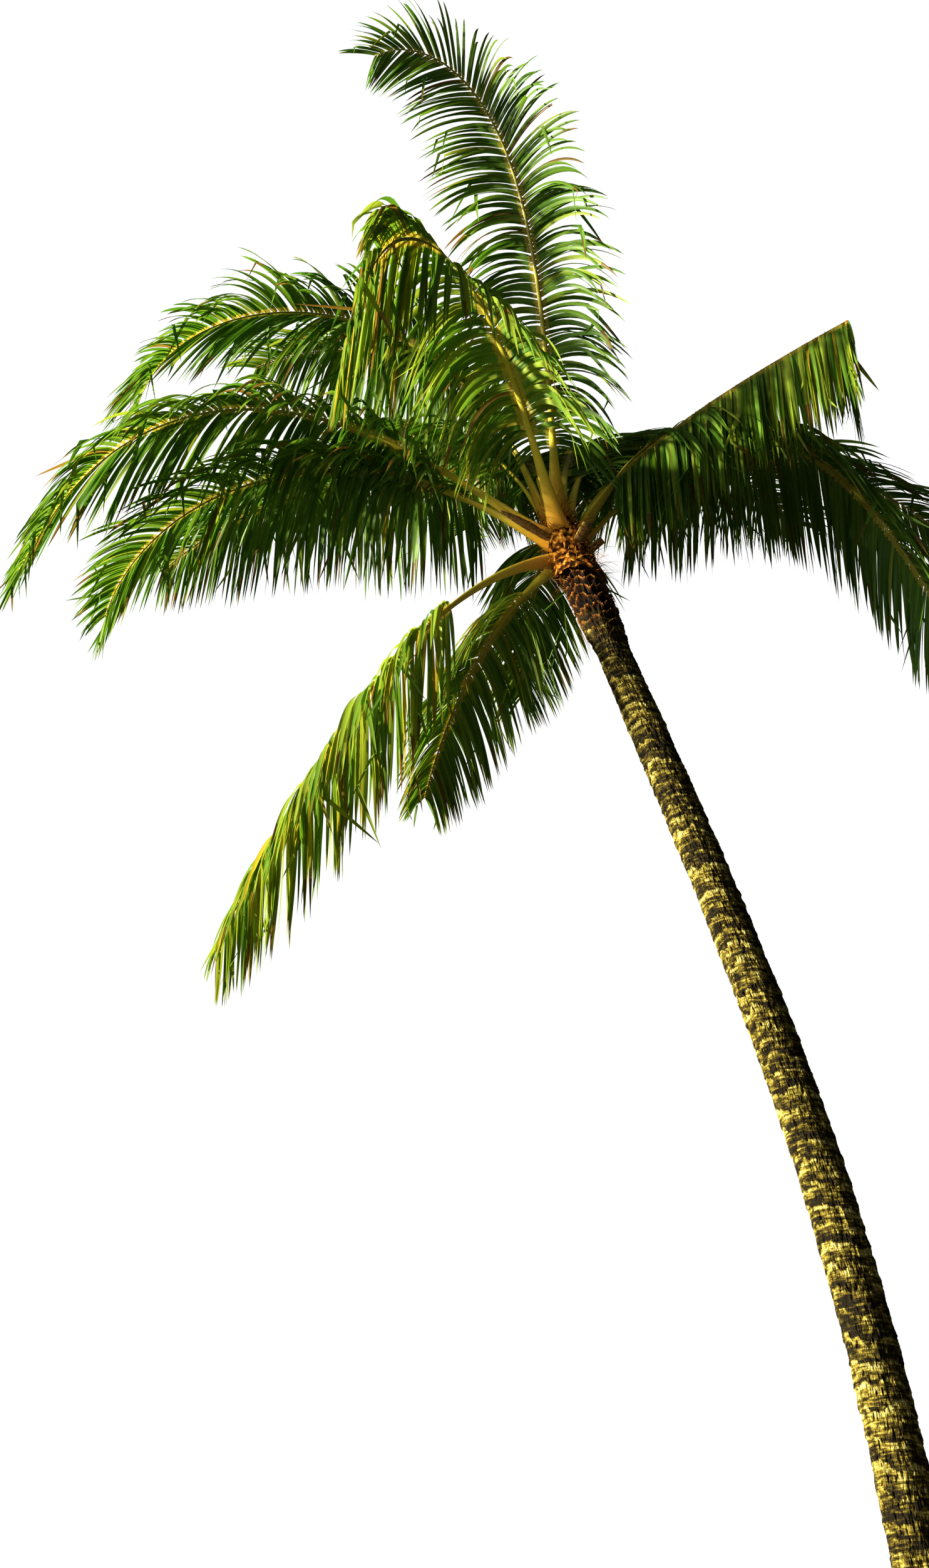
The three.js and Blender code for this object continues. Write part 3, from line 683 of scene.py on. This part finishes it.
class PALM_OT_crown_heart(bpy.types.Operator):
    """Build the crown heart: lumpy core, wrapped fibre sheets and loose strands"""

    bl_idname = "palm.crown_heart"
    bl_label = "Crown Heart"

    def execute(self, context):
        colours = context.scene.palm_colours
        rng = np.random.default_rng(SEED)
        core = drum("heart_core", 48, (40,))
        raw = coordinates(core)
        angle = np.arctan2(raw[:, 1], raw[:, 0])
        t = raw[:, 2]
        girth = np.interp(t, *HEART_PROFILE)
        lump = np.array([noise.fractal(Vector((math.cos(a) * 3, math.sin(a) * 3, h * 6)), 1.0, 2.0, 4)
                         for a, h in zip(angle, t)])
        radius = (HEART_RADIUS * girth + 0.014 * lump) * np.hypot(raw[:, 0], raw[:, 1])
        foot = np.array([trunk_shift(TRUNK_TOP), 0.0, TRUNK_TOP])
        points = foot + CROWN_AXIS * HEART_HEIGHT * t[:, None]
        points[:, 0] += radius * np.cos(angle)
        points[:, 1] += radius * np.sin(angle)
        reshape(core, points)
        fibre = fibre_material(colours)
        finish_piece(core, [fibre], ["crown_heart"])

        for k in range(SHEETS):
            spread = rng.uniform(60, 110)
            low = rng.uniform(-0.32, -0.05)
            points, faces = wrap_sheet(k * 137.5, low, low + rng.uniform(0.28, 0.5), spread,
                                       rng.uniform(0.008, 0.04), rng)
            sheet = mesh_piece(f"sheath_sheet_{k + 1}", points, faces)
            deselect()
            context.view_layer.objects.active = sheet
            sheet.select_set(True)
            bpy.ops.object.modifier_add(type="SOLIDIFY")
            sheet.modifiers[-1].thickness = 0.004
            bpy.ops.object.modifier_apply(modifier=sheet.modifiers[-1].name)
            finish_piece(sheet, [fibre])

        strands = strand_mesh("sheath_strands", STRANDS, rng)
        finish_piece(strands, [fibre], smooth=False)
        return {"FINISHED"}


def strand_mesh(name, count, rng):
    """Loose threads of sheath fibre: thin three-sided rods that curl away from the heart and hang."""
    points = []
    faces = []
    for _ in range(count):
        angle = rng.uniform(0, 2 * math.pi)
        height = rng.uniform(-0.35, 0.45)
        outward = np.array([math.cos(angle), math.sin(angle), 0.0])
        at = CROWN_BASE + CROWN_AXIS * height + outward * HEART_RADIUS * (0.95 - 0.5 * max(height, 0))
        direction = unit(outward * rng.uniform(0.2, 0.9) + UP * rng.uniform(-0.2, 1.0)
                         + rng.normal(0, 0.35, 3))
        length = rng.uniform(0.06, 0.26)
        thick = rng.uniform(0.0012, 0.003)
        start = len(points)
        for i in range(STRAND_STEPS + 1):
            side = unit(np.cross(direction, UP + 0.01))
            other = np.cross(side, direction)
            taper = thick * (1 - 0.8 * i / STRAND_STEPS)
            for k in range(3):
                turn = 2 * math.pi * k / 3
                points.append(at + taper * (side * math.cos(turn) + other * math.sin(turn)))
            at = at + direction * length / STRAND_STEPS
            direction = unit(direction - UP * rng.uniform(0.15, 0.5))
        for i in range(STRAND_STEPS):
            for k in range(3):
                a, b = start + 3 * i + k, start + 3 * i + (k + 1) % 3
                faces.append((a, b, b + 3, a + 3))
        faces.append((start + 2, start + 1, start))
        end = start + 3 * STRAND_STEPS
        faces.append((end, end + 1, end + 2))
    return mesh_piece(name, np.array(points), faces)


# ---- Stubs and spathe ----
# girths are the widths along the piece in millimetres, and flat is its depth as a share of its width.
OFFSHOOTS = [
    dict(name="dry_spathe", seat=0.06, heading=205, rise=24, length=0.52, flat=0.6,
         girths=(50, 74, 84, 62, 14)),
    dict(name="cut_stub_front", seat=-0.04, heading=290, rise=20, length=0.24, flat=0.5,
         girths=(110, 96, 84)),
    dict(name="cut_stub_right", seat=-0.09, heading=325, rise=30, length=0.19, flat=0.5,
         girths=(96, 82, 72)),
]


class PALM_OT_offshoots(bpy.types.Operator):
    """Shape the dry spathe and the cut leaf feet on the crown heart"""

    bl_idname = "palm.offshoots"
    bl_label = "Spathe and Stubs"

    def execute(self, context):
        wood = woody_material()
        for shoot in OFFSHOOTS:
            path = frond_path(dict(shoot, droop=14, late=1, snap=1, sweep=0, roll=0))
            piece = drum(f"{shoot['name']}_skin", 24, (18,))
            raw = coordinates(piece)
            at, _, right, up = along_path(path, raw[:, 2])
            girth = np.interp(raw[:, 2], np.linspace(0, 1, len(shoot["girths"])), shoot["girths"]) / 2000
            crease = 1 - 0.12 * np.cos(3 * np.arctan2(raw[:, 1], raw[:, 0]))
            rough = np.array([noise.noise(Vector(p) * 40) for p in at + raw * 0.1]) * 0.003
            points = at + right * (raw[:, :1] * (girth + rough)[:, None]) \
                + up * (raw[:, 1:2] * (girth * shoot["flat"] * crease + rough)[:, None])
            reshape(piece, points)
            finish_piece(piece, [wood], [shoot["name"]])
        return {"FINISHED"}


# ---- Fronds ----
def rib_piece(frond, path, material):
    """The frond's stalk and midrib: channelled above, rounded below, flared where it clasps the heart."""
    piece = drum(f"rib_{frond['name']}", 12, (7, 7))
    raw = coordinates(piece)
    u = raw[:, 2]
    at, _, right, up = along_path(path, u)
    half = rib_half_width(u, frond)
    deep = np.minimum(half * 0.62, PETIOLE_DEPTH / 2)
    x = raw[:, 0]
    y = raw[:, 1]
    channel = np.where(y > 0, 0.25 + 0.45 * np.abs(x), 1.0)
    wrap = 0.09 * np.exp(-u * frond["length"] / 0.15) * x * x
    points = at + right * (x * half)[:, None] + up * (y * deep * channel)[:, None] \
        - unit(at - CROWN_BASE - CROWN_AXIS * frond["seat"]) * wrap[:, None]
    reshape(piece, points)
    keep_value(piece, "along", u)
    finish_piece(piece, [material], [f"petiole_{frond['name']}"])


def leaflet_steps(steps):
    """Shares along a leaflet at which its rings stand: close at the foot, then wider apart."""
    return (np.arange(steps + 1) / steps) ** 1.25


def clumped(w, side, size, rng):
    """Random values that neighbouring leaflets share, so that they bunch and part."""
    stops = np.linspace(0, 1, 36)
    rows = rng.normal(0, size, (2, len(stops)))
    return np.where(side > 0, np.interp(w, stops, rows[0]), np.interp(w, stops, rows[1]))


def hang_leaflets(base, along, right, up, w, side, frond, sizes, rng):
    """Centre lines, directions, twists and lengths of leaflets that leave the rib and bend to the ground."""
    count = len(w)
    whole = KEPT_SHARE * w if frond.get("broken") else w
    uneven_slant = (clumped(w, side, 5, rng) + rng.normal(0, 2.5, count)) * (1 - 0.6 * w)
    slant = np.radians(frond.get("slant", LEAFLET_SLANT) - SLANT_CLOSING * whole + uneven_slant)
    uneven_lift = (clumped(w, side, 7, rng) + rng.normal(0, 5, count)) * (1 - 0.5 * w)
    lift = np.radians(frond["lift"] + uneven_lift)
    length = sizes.leaflet_length * frond["leaf"] * (whole + 0.1) ** 0.28 * (1.04 - whole) ** 0.45
    length = length * np.clip(rng.normal(1.0, 0.07, count), 0.8, 1.06)
    uneven_limp = np.clip(1 + clumped(w, side, 0.2, rng) + rng.normal(0, 0.12, count), 0.75, 1.6)
    limp = frond["limp"] * (STIFFENING - w) * uneven_limp
    kinked = rng.random(count) < 0.16
    kink_at = np.where(kinked, rng.uniform(0.35, 0.85, count), 2.0)
    kink_way = unit(rng.normal(0, 0.35, (count, 3)) - UP)
    start = along * np.cos(slant)[:, None] \
        + right * (side * np.sin(slant) * np.cos(lift))[:, None] \
        + up * (np.sin(slant) * np.sin(lift))[:, None]
    rings = leaflet_steps(LEAFLET_STEPS)
    centre = [base]
    ways = []
    for low, high in zip(rings[:-1], rings[1:]):
        r = (low + high) / 2
        way = unit(start - UP * (LEAFLET_PULL * limp * r)[:, None])
        way = np.where((r > kink_at)[:, None], unit(0.25 * way + kink_way), way)
        ways.append(way)
        centre.append(centre[-1] + way * (length * (high - low))[:, None])
    twist = rng.normal(0, 0.35 + 0.25 * frond["limp"], count)
    return np.stack(centre, axis=1), np.stack(ways, axis=1), twist, length


def leaflet_mesh(centre, ways, twist, along, length, sizes, rng, ripe):
    """Folded strips along the centre lines, with a material number a face. ripe is one value a leaflet."""
    count, steps = ways.shape[:2]
    rings = leaflet_steps(steps)[:-1]
    shape = np.interp(rings, [0, 0.04, 0.22, 0.5, 0.75, 1], [0.7, 0.9, 1.0, 0.94, 0.66, 0.12])
    width = shape[None, :] * sizes.leaflet_width * np.clip(length / 0.9, 0.7, 1.1)[:, None] / 2
    lengthwise = np.sum(along[:, None, :] * ways, axis=2, keepdims=True)
    across = unit(along[:, None, :] - ways * lengthwise)
    normal = np.cross(ways, across)
    turn = twist[:, None, None] * np.linspace(0.2, 1.6, steps)[None, :, None]
    spun = across * np.cos(turn) + normal * np.sin(turn)
    face_out = np.cross(ways, spun)
    mid = centre[:, :-1]
    left = mid + (spun - face_out * LEAFLET_FOLD) * width[..., None]
    other = mid + (-spun - face_out * LEAFLET_FOLD) * width[..., None]
    points = np.concatenate([np.stack([left, mid, other], axis=2).reshape(count, steps * 3, 3),
                             centre[:, -1:]], axis=1)
    quads = []
    for i in range(steps - 1):
        a = 3 * i
        quads += [(a, a + 1, a + 4, a + 3), (a + 1, a + 2, a + 5, a + 4)]
    last = 3 * (steps - 1)
    ends = [(last, last + 1, last + 3), (last + 1, last + 2, last + 3)]
    size = steps * 3 + 1
    faces = []
    slots = []
    shades = np.clip(np.round(rng.normal(0.35 + 2.2 * ripe, 0.7, count)), 0, RIPEST).astype(int)
    shades[rng.random(count) < 0.02] = DRY
    dry_tip = rng.random(count) < 0.12
    for k in range(count):
        offset = k * size
        faces += [tuple(v + offset for v in face) for face in (*quads, *ends)]
        # The first two faces are the yellow foot, and the last six are brown where the tip is dry.
        slots += [FOOT] * 2 + [shades[k]] * (len(quads) - 6) + [DRY if dry_tip[k] else shades[k]] * 6
    return points.reshape(-1, 3), faces, slots


def leaflets_piece(name, frond, path, materials, nodes, sizes, rng):
    count = sizes.leaflet_count
    w = np.tile((np.arange(count) + 0.5) / count, 2) + rng.normal(0, 0.002, 2 * count)
    w = np.clip(w, 0.0, 0.998)
    side = np.repeat([1.0, -1.0], count)
    kept = rng.random(2 * count) > 0.03
    w, side = w[kept], side[kept]
    u = bare_share(frond) + (1 - bare_share(frond)) * w
    at, along, right, up = along_path(path, u)
    half = rib_half_width(u, frond)
    base = at + right * (side * half * 0.85)[:, None] + up * (half * 0.1)[:, None]
    centre, ways, twist, length = hang_leaflets(base, along, right, up, w, side, frond, sizes, rng)
    # Yellower towards the tip: partly real yellowing, partly painted sunlight.
    ripe = frond["ripe"] + frond.get("yellowing_and_sunlight", 0) * w
    points, faces, slots = leaflet_mesh(centre, ways, twist, along, length, sizes, rng, ripe)
    piece = mesh_piece(name, points, faces)
    piece.data.polygons.foreach_set("material_index", slots)
    finish_piece(piece, materials, nodes)


def frond_nodes(frond):
    stem = f"blade_{frond['name']}"
    return [f"{stem}_inner", f"{stem}_outer"] if frond.get("split") else [stem]


def broken_tip(frond, path, materials, stalk, sizes, rng):
    """The snapped end of the rib, hanging with its leaflets folded down round it."""
    end = along_path(path, np.array([1.0]))
    heading = math.radians(frond["heading"])
    out = np.array([math.cos(heading), math.sin(heading), 0.0])
    steps = np.linspace(0, 1, 12)
    at = end[0] - out * (0.06 * np.sin(2.2 * steps))[:, None] \
        - UP * (0.01 + frond["broken"] * 0.8 * steps)[:, None]
    along = unit(np.gradient(at, axis=0))
    right = np.tile(np.array([-out[1], out[0], 0.0]), (len(steps), 1))
    hanging = (at, along, right, np.cross(along, right))
    rib = drum("rib_broken_tip", 8, (12,))
    raw = coordinates(rib)
    spot, _, across, up = along_path(hanging, raw[:, 2])
    half = 0.016 * (1 - 0.8 * raw[:, 2])
    reshape(rib, spot + across * (raw[:, 0] * half)[:, None] + up * (raw[:, 1] * half)[:, None])
    keep_value(rib, "along", raw[:, 2] * 0.02)
    finish_piece(rib, [stalk])
    w = np.tile((np.arange(TIP_LEAFLETS) + 0.5) / TIP_LEAFLETS, 2)
    side = np.repeat([1.0, -1.0], TIP_LEAFLETS)
    base, along, right, up = along_path(hanging, w * 0.98)
    tip = dict(frond, lift=0, limp=2.4, leaf=0.62, slant=LEAFLET_SLANT)
    centre, ways, twist, length = hang_leaflets(base, along, right, up, w, side, tip, sizes, rng)
    ripe = np.full(len(w), 0.45)
    points, faces, slots = leaflet_mesh(centre, ways, twist, along, length, sizes, rng, ripe)
    piece = mesh_piece("leaflets_broken_tip", points, faces)
    piece.data.polygons.foreach_set("material_index", slots)
    finish_piece(piece, materials, ["blade_broken_right_tip"])


class PALM_OT_fronds(bpy.types.Operator):
    """Grow every frond: its stalk and rib, and its leaflets as one joined piece"""

    bl_idname = "palm.fronds"
    bl_label = "Fronds"

    def execute(self, context):
        sizes = context.scene.palm_sizes
        colours = context.scene.palm_colours
        stalk = stalk_material(colours)
        leaves = leaf_set(colours)
        for number, frond in enumerate(FRONDS):
            rng = np.random.default_rng(SEED + 11 * number)
            path = frond_path(frond)
            rib_piece(frond, path, stalk)
            leaflets_piece(f"leaflets_{frond['name']}", frond, path, leaves, frond_nodes(frond), sizes, rng)
            if frond.get("broken"):
                broken_tip(frond, path, leaves, stalk, sizes, rng)
        return {"FINISHED"}


class PALM_PT_panel(bpy.types.Panel):
    """Lists the palm's pieces in the 3D view's sidebar"""

    bl_label = "Coconut Palm"
    bl_space_type = "VIEW_3D"
    bl_region_type = "UI"
    bl_category = "Palm"

    def draw(self, context):
        for group in (context.scene.palm_sizes, context.scene.palm_colours):
            for key in group.__annotations__:
                self.layout.prop(group, key)
        for operator in OPERATORS:
            self.layout.operator(operator.bl_idname)


OPERATORS = (
    PALM_OT_camera, PALM_OT_stage, PALM_OT_trunk, PALM_OT_crown_heart, PALM_OT_offshoots, PALM_OT_fronds,
)
CLASSES = (PalmSizes, PalmColours, *OPERATORS, PALM_PT_panel)


def register():
    for item in CLASSES:
        bpy.utils.register_class(item)
    bpy.types.Scene.palm_sizes = bpy.props.PointerProperty(type=PalmSizes)
    bpy.types.Scene.palm_colours = bpy.props.PointerProperty(type=PalmColours)


def unregister():
    del bpy.types.Scene.palm_colours
    del bpy.types.Scene.palm_sizes
    for item in reversed(CLASSES):
        bpy.utils.unregister_class(item)


def main():
    register()
    bpy.ops.palm.camera()
    bpy.ops.palm.stage()
    bpy.ops.palm.trunk()
    bpy.ops.palm.crown_heart()
    bpy.ops.palm.offshoots()
    bpy.ops.palm.fronds()


if __name__ == "__main__":
    main()
